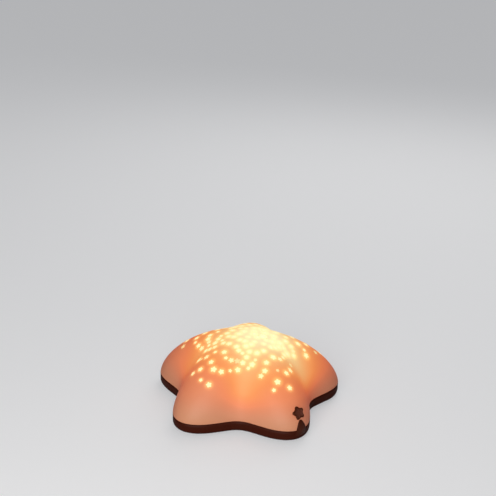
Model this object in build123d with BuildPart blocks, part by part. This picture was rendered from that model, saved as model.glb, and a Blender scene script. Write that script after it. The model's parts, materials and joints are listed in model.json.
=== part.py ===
from build123d import *
import math
import os

os.makedirs("parts", exist_ok=True)

# Star night light projector: a domed five-armed shell on a shallow star-shaped case.
# Millimetres, +Z up, the flat feet stand on z = 0, the front valley between two arms faces -Y.

# ---- star outline and dome
arm_count = 5
shell_radius = 89.5        # mean radius of the outline at the seam
arm_swing = 0.162          # arms and valleys leave the mean radius by this share
tip_sharpness = 0.005      # second harmonic, a slightly slimmer arm tip
seam_height = 13.5
crown_height = 78.5
shoulder_power = 1.45      # dome profile: height = (1 - rho^shoulder)^(1/rim)
rim_power = 1.6
crown_softness = 0.35      # rounds the crown
ridge_gain = -0.3          # the ridges soften towards the crown
crown_blend = 0.6          # arms and valleys grow out of a round crown
outline_points = 30
dome_levels = [1.0, 0.99, 0.96, 0.91, 0.84, 0.74, 0.62, 0.48, 0.34, 0.2, 0.1]

# ---- shell
shell_wall = 2.0
screw_circle = 61.0        # screws stand in the five valleys
shell_boss_radius = 3.5
pilot_radius = 1.4
pilot_depth = 12.0
boss_reach = 55.0

# ---- star windows
window_places = 160        # places of the whole star field
window_step = 4            # every fourth place is a large window through the wall
window_spread = 0.73       # reach of the field, as a share of the way to the outline
window_swing = 0.14        # how much further it reaches on the arms
window_radius = 3.7
window_waist = 0.48
golden_angle = 137.508

# ---- lower case
case_bottom = 1.5
case_edge_round = 4.5
edge_levels = 6
case_wall = 2.2
floor_top = 4.0
cove_height = 6.0
ledge_bottom = 9.5
ledge_top = 11.0
lip_gap = 0.9              # the dome leans inwards over the lip
lip_wall = 1.5
lip_height = 2.5

# ---- tongue at the tip of the button arm
button_arm = 306
button_shift = 2.0         # degrees from the arm's ridge to the tongue and the button
button_arm_angle = math.radians(button_arm + button_shift)
tongue_width = 12.2
tongue_height = 9.8
tongue_proud = 0.5
tongue_gap = 0.15
tongue_depth = 5.5
tongue_reach = 10.0

# ---- feet
foot_circle = 84.0
foot_radius = 6.0
foot_recess = 1.0
foot_gap = 0.1
foot_edge = 0.6

# ---- batteries and their box
cell_count = 3
cell_radius = 7.25
cell_length = 50.5
nub_length = 1.0
nub_radius = 2.75
cell_edge = 0.5
cell_pitch = 15.1
box_half_length = 29.5
box_half_width = 23.2
box_wall = 2.0
box_ceiling = 18.6
roof_wall = 2.0
divider_width = 0.8
divider_drop = 3.0
cell_gap = 0.3
plate_thickness = 0.5
plate_width = 12.0
plate_bottom = 6.0
plate_top = 17.0
tab_width = 3.0
tab_top = 23.4
tab_gap = 0.2
spring_radius = 3.5
spring_wire = 0.4
spring_turns = 3.5

# ---- battery cover
cover_thickness = 2.0
cover_half_length = 33.0
cover_half_width = 27.0
cover_gap = 0.3
cover_top_gap = 0.1
cover_tab_half = 7.0
cover_tab_reach = 8.5
cover_tab_screw = 4.5
barrel_radius = 1.5
barrel_gap = 0.35
pin_radius = 1.0
pin_length = 1.8
pin_fit = 0.05
pad_margin = 3.5
pad_nose_shift = 1.0
pad_top = 6.4
cover_tab_overlap = 1.0
grip_count = 4             # finger grooves on the cover
grip_pitch = 3.0
grip_length = 18.0
grip_width = 1.2
grip_depth = 0.5
cover_screw_radius = 1.3
cover_screw_gap = 0.5
cover_head_radius = 2.8
cover_head_height = 1.2
cover_head_gap = 0.2
cover_screw_top = 8.5
cover_boss_radius = 4.5
cover_boss_top = 12.0

# ---- cross recesses of the screws
cover_recess_length = 3.0
cover_recess_width = 0.7
cover_recess_depth = 0.7
case_recess_length = 3.4
case_recess_width = 0.8
case_recess_depth = 1.0
board_recess_length = 2.2
board_recess_width = 0.5
board_recess_depth = 0.6
deck_recess_length = 2.8
deck_recess_width = 0.6
deck_recess_depth = 0.8

# ---- case screws
case_post_radius = 4.8
case_well_radius = 3.4
case_well_top = 9.5
case_head_radius = 3.0
case_head_height = 2.0
case_shank_radius = 1.35
case_shank_top = 23.0
case_hole_radius = 1.7

# ---- circuit board and light
board_half_length = 26.0
board_half_width = 20.0
board_thickness = 1.6
board_corner = 2.0
standoff_height = 3.6
standoff_radius = 2.6
standoff_x = 18.0
standoff_y = 16.0
board_hole_radius = 1.2
board_pilot_radius = 1.0
board_shank_radius = 0.95
board_shank_length = 4.4
board_head_radius = 2.1
board_head_height = 1.3
holder_radius = 6.0
holder_height = 7.2
led_flange_radius = 4.6
led_flange_height = 1.0
led_radius = 4.0
led_barrel = 3.5
led_leg_radius = 0.3
led_leg_spread = 1.27
chip_length = 8.0
chip_width = 5.2
chip_height = 1.7
chip_bevel = 0.3
chip_place = (-14.0, 6.0)
capacitor_radius = 3.15
capacitor_height = 8.0
capacitor_edge = 0.5
capacitor_place = (15.0, 8.0)
smd_length = 2.0
smd_width = 1.25
smd_height = 0.6
smd_pitch_x = 4.0
smd_pitch_y = 3.0
smd_place_x = 14.0
smd_place_y = -8.0

# ---- reflector deck and lens dome
deck_radius = 52.0
deck_bottom = 36.0
deck_thickness = 1.8
deck_rim_height = 4.0
deck_rim_wall = 1.6
deck_hole_radius = 6.5
deck_post_x = 38.0
deck_post_y = 24.0
deck_post_radius = 3.5
deck_pilot_radius = 1.25
deck_pilot_depth = 12.0
deck_shank_radius = 1.2
deck_shank_length = 9.0
deck_head_radius = 2.6
deck_head_height = 1.6
deck_clear_radius = 1.6
lens_radius = 14.0
lens_wall = 1.2
lens_flange = 3.0
lens_flange_height = 1.2

# ---- star button and its switch, measured inwards from the shell's surface
button_place = 0.944       # share of the way from the crown to the tip
button_radius = 7.1
button_waist = 0.7
button_spin = 6            # degrees from a point straight towards the crown
button_corner = 1.0
button_proud = 1.3
button_dish = 0.6
dish_radius = 5.0
dish_corner = 0.5
button_hole_gap = 0.3
button_edge = 0.3
seat_depth = 6.0
seat_radius = 8.3
seat_gap = 0.05
flange_radius = 7.7
flange_thickness = 1.15
stem_radius = 2.5
stem_fit = 0.05
stem_end = 13.2
guide_top = 8.6
guide_radius = 4.5
bracket_top = 10.0
bracket_thickness = 2.0
bracket_half_length = 15.2
bracket_half_width = 6.0
lug_offset = 12.2
lug_radius = 3.0
lug_pilot_radius = 1.0
lug_pilot_depth = 5.0
bracket_hole_radius = 1.3
leg_inner = 7.6
leg_outer = 9.6
leg_half_width = 5.0
leg_end = 21.0
groove_depth = 1.0
groove_fit = 0.05
switch_board_half = 8.5
switch_board_width = 5.0
switch_board_thickness = 1.2
tact_half = 3.1
tact_top = 14.5
tact_height = 3.6
plunger_radius = 1.75
plunger_fit = 0.1
plunger_depth = 0.9
plunger_well = 2.4
bracket_head_radius = 2.1
bracket_head_height = 1.4
bracket_shank_radius = 0.95
bracket_shank_length = 6.0

# ---- wires
wire_radius = 0.6
bend_share = 0.45          # share of the shorter leg that a bend may take
lead_inset = 4.0
lead_start = 1.0
lead_knee = 1.5
lead_lift = 4.5
lead_side = 3.5
switch_lead_stops = [(70.0, 11.5), (52.0, 13.0), (38.0, 24.0), (30.0, 29.0)]
switch_lead_end = 22.0


def swing_at(rho):
    """Share by which arms and valleys leave the mean radius at this level."""
    ease = math.tanh(rho / crown_blend) / math.tanh(1 / crown_blend)
    return arm_swing * (1 + ridge_gain * (1 - rho)) * ease


def star_radius(rho, angle, mean):
    """Distance from the star's axis to the dome at one level and direction."""
    phase = arm_count * (angle - math.pi / 2)
    wave = swing_at(rho) * math.cos(phase) + tip_sharpness * rho**2 * math.cos(2 * phase)
    return mean * rho * (1 + wave)


def level_height(rho, crown):
    """Height of one level of the dome above the table."""
    full = math.sqrt(1 + crown_softness**2) - crown_softness
    soft = (math.sqrt(rho**2 + crown_softness**2) - crown_softness) / full
    return seam_height + (crown - seam_height) * max(0, 1 - soft**shoulder_power)**(1 / rim_power)


# the star's axis stands behind the middle of the footprint, as one arm points straight back
directions = [2 * math.pi * step / 720 for step in range(720)]
back_reach = max(star_radius(1, a, shell_radius) * math.sin(a) for a in directions)
front_reach = min(star_radius(1, a, shell_radius) * math.sin(a) for a in directions)
star_y = -(back_reach + front_reach) / 2
axis = Plane(origin=(0, star_y, 0))


def star_section(rho, mean, height):
    """Closed outline of the star at one height; evenly spaced knots keep all sections alike."""
    turns = [2 * math.pi * step / outline_points for step in range(outline_points)]
    reach = [star_radius(rho, a, mean) for a in turns]
    points = [(r * math.cos(a), star_y + r * math.sin(a), height) for r, a in zip(reach, turns)]
    knots = [step / outline_points for step in range(outline_points + 1)]
    return Wire([Edge.make_spline(points, parameters=knots, periodic=True)])


def dome_solid(mean, crown, skirt=0.0):
    """Solid dome from the seam to the crown, with a straight skirt below the seam if wanted."""
    foot = [star_section(1, mean, seam_height - skirt)] if skirt else []
    rings = [star_section(rho, mean, level_height(rho, crown)) for rho in dome_levels]
    return Solid.make_loft(foot + rings + [Vertex(0, star_y, crown)])


def stack_solid(levels, ruled=False):
    """Solid between star outlines given as (height, mean radius)."""
    return Solid.make_loft([star_section(1, mean, height) for height, mean in levels], ruled)


def dome_point(rho, angle):
    """Point on the outside of the dome."""
    reach = star_radius(rho, angle, shell_radius)
    return Vector(reach * math.cos(angle), star_y + reach * math.sin(angle), level_height(rho, crown_height))


def dome_plane(rho, angle):
    """Plane touching the dome from outside, its Y running up towards the crown."""
    step = 1e-3
    up = dome_point(rho - step, angle) - dome_point(rho + step, angle)
    across = dome_point(rho, angle + step) - dome_point(rho, angle - step)
    return Plane(origin=dome_point(rho, angle), x_dir=across, z_dir=across.cross(up))


def star_points(radius, waist, spin=0):
    """Ten corners of a five-pointed star, one point towards the crown before its spin."""
    turns = [math.radians(90 + spin + 36 * corner) for corner in range(10)]
    reach = [radius if corner % 2 == 0 else radius * waist for corner in range(10)]
    return [(r * math.cos(a), r * math.sin(a)) for r, a in zip(reach, turns)]


def ring_places(radius, offset=0.0):
    """Places on the star's five arms; an offset of half a step gives the valleys."""
    turns = [math.radians(90 + (arm + offset) * 360 / arm_count) for arm in range(arm_count)]
    return [(radius * math.cos(a), radius * math.sin(a)) for a in turns]


screw_places = ring_places(screw_circle, 0.5)
foot_places = ring_places(foot_circle)
deck_places = [(x, y) for x in (-deck_post_x, deck_post_x) for y in (-deck_post_y, deck_post_y)]
board_places = [(x, y) for x in (-standoff_x, standoff_x) for y in (-standoff_y, standoff_y)]
button_plane = dome_plane(button_place, button_arm_angle)

tip_radius = star_radius(1, button_arm_angle, shell_radius)
tip_dir = Vector(math.cos(button_arm_angle), math.sin(button_arm_angle), 0)
tip_side = Vector(-math.sin(button_arm_angle), math.cos(button_arm_angle), 0)
tip_start = tip_dir * (tip_radius - tongue_depth) + Vector(0, star_y, seam_height)
tip_plane = Plane(origin=tip_start, x_dir=tip_side, z_dir=tip_dir)


def arch_sketch(grow):
    """Arch of the tongue, one parabola grown by a gap on all sides."""
    half = tongue_width / 2 + grow
    top = tongue_height + grow
    with BuildSketch(tip_plane) as arch:
        with BuildLine():
            Bezier((half, 0), (0, 2 * top), (-half, 0))
            Line((-half, 0), (half, 0))
        make_face()
    return arch.sketch


# ---- star shell -------------------------------------------------------------------------
dome_outside = dome_solid(shell_radius, crown_height)
dome_inside = dome_solid(shell_radius - shell_wall, crown_height - shell_wall, skirt=3.0)

with BuildPart() as shell_bosses:
    with BuildSketch(axis.offset(seam_height)):
        with Locations(*screw_places):
            Circle(shell_boss_radius)
    extrude(amount=boss_reach - seam_height)
    with BuildSketch(button_plane.offset(-seat_depth)):
        Circle(seat_radius)
    extrude(amount=seat_depth)
    with BuildSketch(button_plane.offset(-bracket_top)):
        with Locations((-lug_offset, 0), (lug_offset, 0)):
            Circle(lug_radius)
    extrude(amount=bracket_top)
    add(dome_outside, mode=Mode.INTERSECT)

with BuildPart() as star_shell:
    add(dome_outside)
    add(dome_inside, mode=Mode.SUBTRACT)
    add(shell_bosses.part)
    # pilot holes of the case screws and of the switch bracket
    with BuildSketch(axis.offset(seam_height)):
        with Locations(*screw_places):
            Circle(pilot_radius)
    extrude(amount=pilot_depth, mode=Mode.SUBTRACT)
    with BuildSketch(button_plane.offset(-bracket_top)):
        with Locations((-lug_offset, 0), (lug_offset, 0)):
            Circle(lug_pilot_radius)
    extrude(amount=lug_pilot_depth, mode=Mode.SUBTRACT)
    # star-shaped hole of the button
    with BuildSketch(button_plane.offset(-2 * seat_depth)):
        with BuildLine():
            Polyline(*star_points(button_radius + button_hole_gap, button_waist, button_spin), close=True)
        make_face()
    extrude(amount=3 * seat_depth, mode=Mode.SUBTRACT)
    # notch for the case's tongue
    extrude(arch_sketch(tongue_gap), amount=tongue_reach, mode=Mode.SUBTRACT)
    # large star windows
    for place in range(0, window_places, window_step):
        window_turn = math.radians(place * golden_angle)
        field_reach = window_spread * (1 + window_swing * math.cos(arm_count * (window_turn - math.pi / 2)))
        window_rho = field_reach * math.sqrt((place + 1.5) / (window_places + 1))
        with BuildSketch(dome_plane(window_rho, window_turn)):
            with BuildLine():
                Polyline(*star_points(window_radius, window_waist), close=True)
            make_face()
    extrude(amount=2 * shell_wall, both=True, mode=Mode.SUBTRACT)
star_shell.part.label = "star_shell"
export_step(star_shell.part, "parts/star_shell.step")

# ---- lower case -------------------------------------------------------------------------
edge_angles = [math.pi / 2 * step / (edge_levels - 1) for step in range(edge_levels)]
bowl_levels = [
    (case_bottom + case_edge_round * (1 - math.cos(a)), shell_radius - case_edge_round * (1 - math.sin(a)))
    for a in edge_angles
]
inner_mean = shell_radius - case_wall
lip_outer = shell_radius - shell_wall - lip_gap
lip_inner = lip_outer - lip_wall
lip_top = seam_height + lip_height
cavity_levels = [
    (floor_top, inner_mean - 1.2),
    (cove_height, inner_mean),
    (ledge_bottom, inner_mean),
    (ledge_top, lip_inner),
    (lip_top + 1, lip_inner),
]
pad_half_length = cover_half_length + pad_margin
pad_half_width = cover_half_width + pad_margin
hinge_y = cover_half_width
hinge_z = case_bottom + barrel_radius
cover_top = case_bottom + cover_thickness
cover_screw_y = -cover_half_width - cover_tab_screw
roof_top = box_ceiling + roof_wall
board_bottom = roof_top + standoff_height
board_top = board_bottom + board_thickness
cell_rows = [(row - (cell_count - 1) / 2) * cell_pitch for row in range(cell_count)]
tab_places = [(-box_half_length + plate_thickness / 2, cell_rows[2]),
              (box_half_length - plate_thickness / 2, cell_rows[0])]

with BuildPart() as case_tongue:
    extrude(arch_sketch(0), amount=tongue_reach)
    add(dome_solid(shell_radius + tongue_proud, crown_height + tongue_proud), mode=Mode.INTERSECT)
    add(dome_inside, mode=Mode.SUBTRACT)

with BuildPart() as lower_case:
    add(stack_solid(bowl_levels + [(seam_height, shell_radius)]))
    add(stack_solid([(seam_height, lip_outer), (lip_top, lip_outer)], ruled=True))
    add(stack_solid(cavity_levels, ruled=True), mode=Mode.SUBTRACT)
    add(case_tongue.part)
    # thick pad around the battery opening, with a nose for the cover's screw
    with BuildSketch(axis.offset(case_bottom)):
        Rectangle(2 * pad_half_length, 2 * pad_half_width)
        with Locations((0, cover_screw_y - pad_nose_shift)):
            Rectangle(2 * cover_tab_half + 2 * pad_margin, 2 * cover_tab_screw + 2 * pad_margin)
    extrude(amount=pad_top - case_bottom)
    # battery box
    with BuildSketch(axis.offset(case_bottom)):
        Rectangle(2 * (box_half_length + box_wall), 2 * (box_half_width + box_wall))
    extrude(amount=roof_top - case_bottom)
    # posts: cover screw, case screws, deck, circuit board
    with BuildSketch(axis.offset(case_bottom)):
        with Locations((0, cover_screw_y)):
            Circle(cover_boss_radius)
    extrude(amount=cover_boss_top - case_bottom)
    with BuildSketch(axis.offset(case_bottom)):
        with Locations(*screw_places):
            Circle(case_post_radius)
    extrude(amount=seam_height - case_bottom)
    with BuildSketch(axis.offset(case_bottom)):
        with Locations(*deck_places):
            Circle(deck_post_radius)
    extrude(amount=deck_bottom - case_bottom)
    with BuildSketch(axis.offset(roof_top)):
        with Locations(*board_places):
            Circle(standoff_radius)
    extrude(amount=standoff_height)
    # battery opening and the rebate of its cover
    with BuildSketch(axis.offset(case_bottom)):
        Rectangle(2 * box_half_length, 2 * box_half_width)
    extrude(amount=box_ceiling - case_bottom, mode=Mode.SUBTRACT)
    with BuildSketch(axis.offset(case_bottom)):
        Rectangle(2 * (cover_half_length + cover_gap), 2 * (cover_half_width + cover_gap))
        with Locations((0, cover_screw_y)):
            Rectangle(2 * (cover_tab_half + cover_gap), 2 * (cover_tab_reach - cover_tab_screw + cover_gap))
    extrude(amount=cover_thickness + cover_top_gap, mode=Mode.SUBTRACT)
    # groove of the hinge barrel and the holes of its pins
    with BuildSketch(axis.offset(case_bottom)):
        with Locations((0, hinge_y)):
            Rectangle(2 * (cover_half_length + cover_gap), 2 * (barrel_radius + barrel_gap))
    extrude(amount=2 * barrel_radius + barrel_gap, mode=Mode.SUBTRACT)
    with BuildSketch(Plane(origin=(0, star_y, hinge_z), x_dir=(0, 1, 0), z_dir=(1, 0, 0))):
        with Locations((hinge_y, 0)):
            Circle(pin_radius + pin_fit)
    extrude(amount=cover_half_length + pin_length, both=True, mode=Mode.SUBTRACT)
    # screw holes
    with BuildSketch(axis.offset(case_bottom)):
        with Locations((0, cover_screw_y)):
            Circle(cover_screw_radius + cover_screw_gap)
    extrude(amount=cover_screw_top, mode=Mode.SUBTRACT)
    with BuildSketch(axis.offset(case_bottom)):
        with Locations(*screw_places):
            Circle(case_hole_radius)
    extrude(amount=seam_height, mode=Mode.SUBTRACT)
    with BuildSketch(axis.offset(case_bottom)):
        with Locations(*screw_places):
            Circle(case_well_radius)
    extrude(amount=case_well_top - case_bottom, mode=Mode.SUBTRACT)
    with BuildSketch(axis.offset(deck_bottom)):
        with Locations(*deck_places):
            Circle(deck_pilot_radius)
    extrude(amount=-deck_pilot_depth, mode=Mode.SUBTRACT)
    with BuildSketch(axis.offset(board_bottom)):
        with Locations(*board_places):
            Circle(board_pilot_radius)
    extrude(amount=-standoff_height, mode=Mode.SUBTRACT)
    # recesses of the feet
    with BuildSketch(axis.offset(case_bottom)):
        with Locations(*foot_places):
            Circle(foot_radius + foot_gap)
    extrude(amount=foot_recess, mode=Mode.SUBTRACT)
    # slots for the solder tabs of the terminals
    with BuildSketch(axis.offset(box_ceiling)):
        with Locations(*tab_places):
            Rectangle(plate_thickness + 2 * tab_gap, tab_width + 2 * tab_gap)
    extrude(amount=roof_wall, mode=Mode.SUBTRACT)
    # ribs between the cells, hanging from the roof
    with BuildSketch(axis.offset(box_ceiling)):
        with Locations((0, -cell_pitch / 2), (0, cell_pitch / 2)):
            Rectangle(cell_length / 2, divider_width)
    extrude(amount=-divider_drop)
lower_case.part.label = "lower_case"
export_step(lower_case.part, "parts/lower_case.step")

# ---- feet -------------------------------------------------------------------------------
for number, place in enumerate(foot_places, start=1):
    with BuildPart() as rubber_foot:
        with BuildSketch(axis):
            with Locations(place):
                Circle(foot_radius)
        extrude(amount=case_bottom + foot_recess)
        foot_edges = rubber_foot.edges().filter_by(GeomType.CIRCLE).sort_by(Axis.Z)
        fillet(foot_edges[0], radius=foot_edge)
    rubber_foot.part.label = f"rubber_foot_{number}"
    export_step(rubber_foot.part, f"parts/rubber_foot_{number}.step")

# ---- battery cover ----------------------------------------------------------------------
with BuildPart() as battery_cover:
    with BuildSketch(axis.offset(case_bottom)):
        Rectangle(2 * cover_half_length, 2 * cover_half_width)
        with Locations((0, -cover_half_width - cover_tab_reach / 2 + cover_tab_overlap)):
            Rectangle(2 * cover_tab_half, cover_tab_reach + 2 * (cover_tab_overlap - cover_gap))
    extrude(amount=cover_thickness)
    # hinge barrel and its two pins
    with BuildSketch(Plane(origin=(0, star_y, hinge_z), x_dir=(0, 1, 0), z_dir=(1, 0, 0))):
        with Locations((hinge_y, 0)):
            Circle(barrel_radius)
    extrude(amount=cover_half_length, both=True)
    with BuildSketch(Plane(origin=(0, star_y, hinge_z), x_dir=(0, 1, 0), z_dir=(1, 0, 0))):
        with Locations((hinge_y, 0)):
            Circle(pin_radius)
    extrude(amount=cover_half_length + pin_length - cover_gap, both=True)
    # screw hole with a sunk seat for the head
    with BuildSketch(axis.offset(case_bottom)):
        with Locations((0, cover_screw_y)):
            Circle(cover_screw_radius + cover_head_gap)
    extrude(amount=cover_thickness, mode=Mode.SUBTRACT)
    with BuildSketch(axis.offset(case_bottom)):
        with Locations((0, cover_screw_y)):
            Circle(cover_head_radius + cover_head_gap)
    extrude(amount=cover_head_height, mode=Mode.SUBTRACT)
    # finger grooves beside the screw
    with BuildSketch(axis.offset(case_bottom)):
        with GridLocations(0, grip_pitch, 1, grip_count):
            SlotOverall(grip_length, grip_width)
    extrude(amount=grip_depth, mode=Mode.SUBTRACT)
battery_cover.part.label = "battery_cover"
export_step(battery_cover.part, "parts/battery_cover.step")

with BuildPart() as cover_screw:
    with BuildSketch(axis.offset(case_bottom)):
        with Locations((0, cover_screw_y)):
            Circle(cover_head_radius)
    extrude(amount=cover_head_height)
    with BuildSketch(axis.offset(case_bottom)):
        with Locations((0, cover_screw_y)):
            Circle(cover_screw_radius)
    extrude(amount=cover_screw_top - case_bottom)
    with BuildSketch(axis.offset(case_bottom)):
        with Locations((0, cover_screw_y)):
            Rectangle(cover_recess_length, cover_recess_width)
            Rectangle(cover_recess_width, cover_recess_length)
    extrude(amount=cover_recess_depth, mode=Mode.SUBTRACT)
cover_screw.part.label = "cover_screw"
export_step(cover_screw.part, "parts/cover_screw.step")

# ---- case screws ------------------------------------------------------------------------
with BuildPart() as case_screws:
    with BuildSketch(axis.offset(case_well_top - case_head_height)):
        with Locations(*screw_places):
            Circle(case_head_radius)
    extrude(amount=case_head_height)
    with BuildSketch(axis.offset(case_well_top)):
        with Locations(*screw_places):
            Circle(case_shank_radius)
    extrude(amount=case_shank_top - case_well_top)
    with BuildSketch(axis.offset(case_well_top - case_head_height)):
        with Locations(*screw_places):
            Rectangle(case_recess_length, case_recess_width)
            Rectangle(case_recess_width, case_recess_length)
    extrude(amount=case_recess_depth, mode=Mode.SUBTRACT)
case_screws.part.label = "case_screws"
export_step(case_screws.part, "parts/case_screws.step")

# ---- batteries, springs and contact plates ----------------------------------------------
cell_z = cover_top + cell_gap + cell_radius
for number, row in enumerate(cell_rows, start=1):
    # neighbouring cells face opposite ways; facing is +1 where the nub points to +X
    facing = 1 if number % 2 else -1
    nub_end = facing * (box_half_length - plate_thickness)
    body_end = nub_end - facing * nub_length
    tail_end = nub_end - facing * cell_length
    with BuildPart() as battery:
        with BuildSketch(Plane(origin=(tail_end, star_y + row, cell_z), z_dir=(facing, 0, 0))):
            Circle(cell_radius)
        extrude(amount=cell_length - nub_length)
        rim_edges = battery.edges().filter_by(GeomType.CIRCLE)
        fillet(rim_edges, radius=cell_edge)
        with BuildSketch(Plane(origin=(body_end, star_y + row, cell_z), z_dir=(facing, 0, 0))):
            Circle(nub_radius)
        extrude(amount=nub_length)
    battery.part.label = f"battery_{number}"
    export_step(battery.part, f"parts/battery_{number}.step")

    spring_room = 2 * box_half_length - 2 * plate_thickness - cell_length
    coil_height = spring_room - 2 * spring_wire
    coil_start = tail_end - facing * (spring_room - spring_wire)
    coil_plane = Plane(origin=(coil_start, star_y + row, cell_z), z_dir=(facing, 0, 0))
    coil = Helix(coil_height / spring_turns, coil_height, spring_radius)
    coil = coil_plane.location * coil
    with BuildPart() as contact_spring:
        with BuildSketch(Plane(origin=coil @ 0, z_dir=coil % 0)):
            Circle(spring_wire)
        sweep(path=coil)
    contact_spring.part.label = f"contact_spring_{number}"
    export_step(contact_spring.part, f"parts/contact_spring_{number}.step")

# each plate: name, side, first row, last row, whether it has a solder tab
plates = [
    ("terminal_plate_left", -1, 2, 2, True),
    ("link_plate_left", -1, 0, 1, False),
    ("terminal_plate_right", 1, 0, 0, True),
    ("link_plate_right", 1, 1, 2, False),
]
for label, side, first, last, has_tab in plates:
    plate_x = side * (box_half_length - plate_thickness / 2)
    plate_y = (cell_rows[first] + cell_rows[last]) / 2
    with BuildPart() as contact_plate:
        with BuildSketch(axis.offset(plate_bottom)):
            with Locations((plate_x, plate_y)):
                Rectangle(plate_thickness, plate_width + cell_rows[last] - cell_rows[first])
        extrude(amount=plate_top - plate_bottom)
        if has_tab:
            with BuildSketch(axis.offset(plate_top)):
                with Locations((plate_x, plate_y)):
                    Rectangle(plate_thickness, tab_width)
            extrude(amount=tab_top - plate_top)
    contact_plate.part.label = label
    export_step(contact_plate.part, f"parts/{label}.step")

# ---- circuit board and its parts --------------------------------------------------------
with BuildPart() as circuit_board:
    with BuildSketch(axis.offset(board_bottom)):
        RectangleRounded(2 * board_half_length, 2 * board_half_width, board_corner)
        with Locations(*board_places):
            Circle(board_hole_radius, mode=Mode.SUBTRACT)
    extrude(amount=board_thickness)
circuit_board.part.label = "circuit_board"
export_step(circuit_board.part, "parts/circuit_board.step")

with BuildPart() as board_screws:
    with BuildSketch(axis.offset(board_top - board_shank_length)):
        with Locations(*board_places):
            Circle(board_shank_radius)
    extrude(amount=board_shank_length)
    with BuildSketch(axis.offset(board_top)):
        with Locations(*board_places):
            Circle(board_head_radius)
    extrude(amount=board_head_height)
    with BuildSketch(axis.offset(board_top + board_head_height)):
        with Locations(*board_places):
            Rectangle(board_recess_length, board_recess_width)
            Rectangle(board_recess_width, board_recess_length)
    extrude(amount=-board_recess_depth, mode=Mode.SUBTRACT)
board_screws.part.label = "board_screws"
export_step(board_screws.part, "parts/board_screws.step")

holder_top = board_top + holder_height
leg_places = [(-led_leg_spread, 0), (led_leg_spread, 0)]
with BuildPart() as led_holder:
    with BuildSketch(axis.offset(board_top)):
        Circle(holder_radius)
        with Locations(*leg_places):
            Circle(2 * led_leg_radius, mode=Mode.SUBTRACT)
    extrude(amount=holder_height)
led_holder.part.label = "led_holder"
export_step(led_holder.part, "parts/led_holder.step")

with BuildPart() as star_led:
    with BuildSketch(axis.offset(holder_top)):
        Circle(led_flange_radius)
    extrude(amount=led_flange_height)
    with BuildSketch(axis.offset(holder_top + led_flange_height)):
        Circle(led_radius)
    extrude(amount=led_barrel)
    with Locations((0, star_y, holder_top + led_flange_height + led_barrel)):
        Sphere(led_radius, arc_size1=0)
    with BuildSketch(axis.offset(board_top)):
        with Locations(*leg_places):
            Circle(led_leg_radius)
    extrude(amount=holder_height)
star_led.part.label = "star_led"
export_step(star_led.part, "parts/star_led.step")

with BuildPart() as controller_chip:
    with BuildSketch(axis.offset(board_top)):
        with Locations(chip_place):
            Rectangle(chip_length, chip_width)
    extrude(amount=chip_height)
    chamfer(controller_chip.faces().sort_by(Axis.Z)[-1].edges(), length=chip_bevel)
controller_chip.part.label = "controller_chip"
export_step(controller_chip.part, "parts/controller_chip.step")

with BuildPart() as electrolytic_capacitor:
    with BuildSketch(axis.offset(board_top)):
        with Locations(capacitor_place):
            Circle(capacitor_radius)
    extrude(amount=capacitor_height)
    fillet(electrolytic_capacitor.edges().filter_by(GeomType.CIRCLE).sort_by(Axis.Z)[-1], radius=capacitor_edge)
electrolytic_capacitor.part.label = "electrolytic_capacitor"
export_step(electrolytic_capacitor.part, "parts/electrolytic_capacitor.step")

with BuildPart() as smd_parts:
    with BuildSketch(axis.offset(board_top)):
        with Locations((-smd_place_x, smd_place_y), (smd_place_x, smd_place_y)):
            with GridLocations(smd_pitch_x, smd_pitch_y, 3, 2):
                Rectangle(smd_length, smd_width)
    extrude(amount=smd_height)
smd_parts.part.label = "smd_parts"
export_step(smd_parts.part, "parts/smd_parts.step")

# ---- reflector deck and lens dome -------------------------------------------------------
deck_top = deck_bottom + deck_thickness
with BuildPart() as reflector_deck:
    with BuildSketch(axis.offset(deck_bottom)):
        Circle(deck_radius)
        Circle(deck_hole_radius, mode=Mode.SUBTRACT)
        with Locations(*deck_places):
            Circle(deck_clear_radius, mode=Mode.SUBTRACT)
    extrude(amount=deck_thickness)
    with BuildSketch(axis.offset(deck_bottom)):
        Circle(deck_radius)
        Circle(deck_radius - deck_rim_wall, mode=Mode.SUBTRACT)
    extrude(amount=deck_thickness + deck_rim_height)
reflector_deck.part.label = "reflector_deck"
export_step(reflector_deck.part, "parts/reflector_deck.step")

with BuildPart() as deck_screws:
    with BuildSketch(axis.offset(deck_top)):
        with Locations(*deck_places):
            Circle(deck_shank_radius)
    extrude(amount=-deck_shank_length)
    with BuildSketch(axis.offset(deck_top)):
        with Locations(*deck_places):
            Circle(deck_head_radius)
    extrude(amount=deck_head_height)
    with BuildSketch(axis.offset(deck_top + deck_head_height)):
        with Locations(*deck_places):
            Rectangle(deck_recess_length, deck_recess_width)
            Rectangle(deck_recess_width, deck_recess_length)
    extrude(amount=-deck_recess_depth, mode=Mode.SUBTRACT)
deck_screws.part.label = "deck_screws"
export_step(deck_screws.part, "parts/deck_screws.step")

with BuildPart() as lens_dome:
    with BuildSketch(Plane(origin=(0, star_y, deck_top), x_dir=(1, 0, 0), z_dir=(0, -1, 0))):
        with BuildLine():
            CenterArc((0, 0), lens_radius, 0, 90)
            Line((0, lens_radius), (0, lens_radius - lens_wall))
            CenterArc((0, 0), lens_radius - lens_wall, 0, 90)
            Line((lens_radius - lens_wall, 0), (lens_radius, 0))
        make_face()
    revolve(axis=Axis((0, star_y, 0), (0, 0, 1)))
    with BuildSketch(axis.offset(deck_top)):
        Circle(lens_radius + lens_flange)
        Circle(lens_radius - lens_wall, mode=Mode.SUBTRACT)
    extrude(amount=lens_flange_height)
lens_dome.part.label = "lens_dome"
export_step(lens_dome.part, "parts/lens_dome.step")

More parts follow.
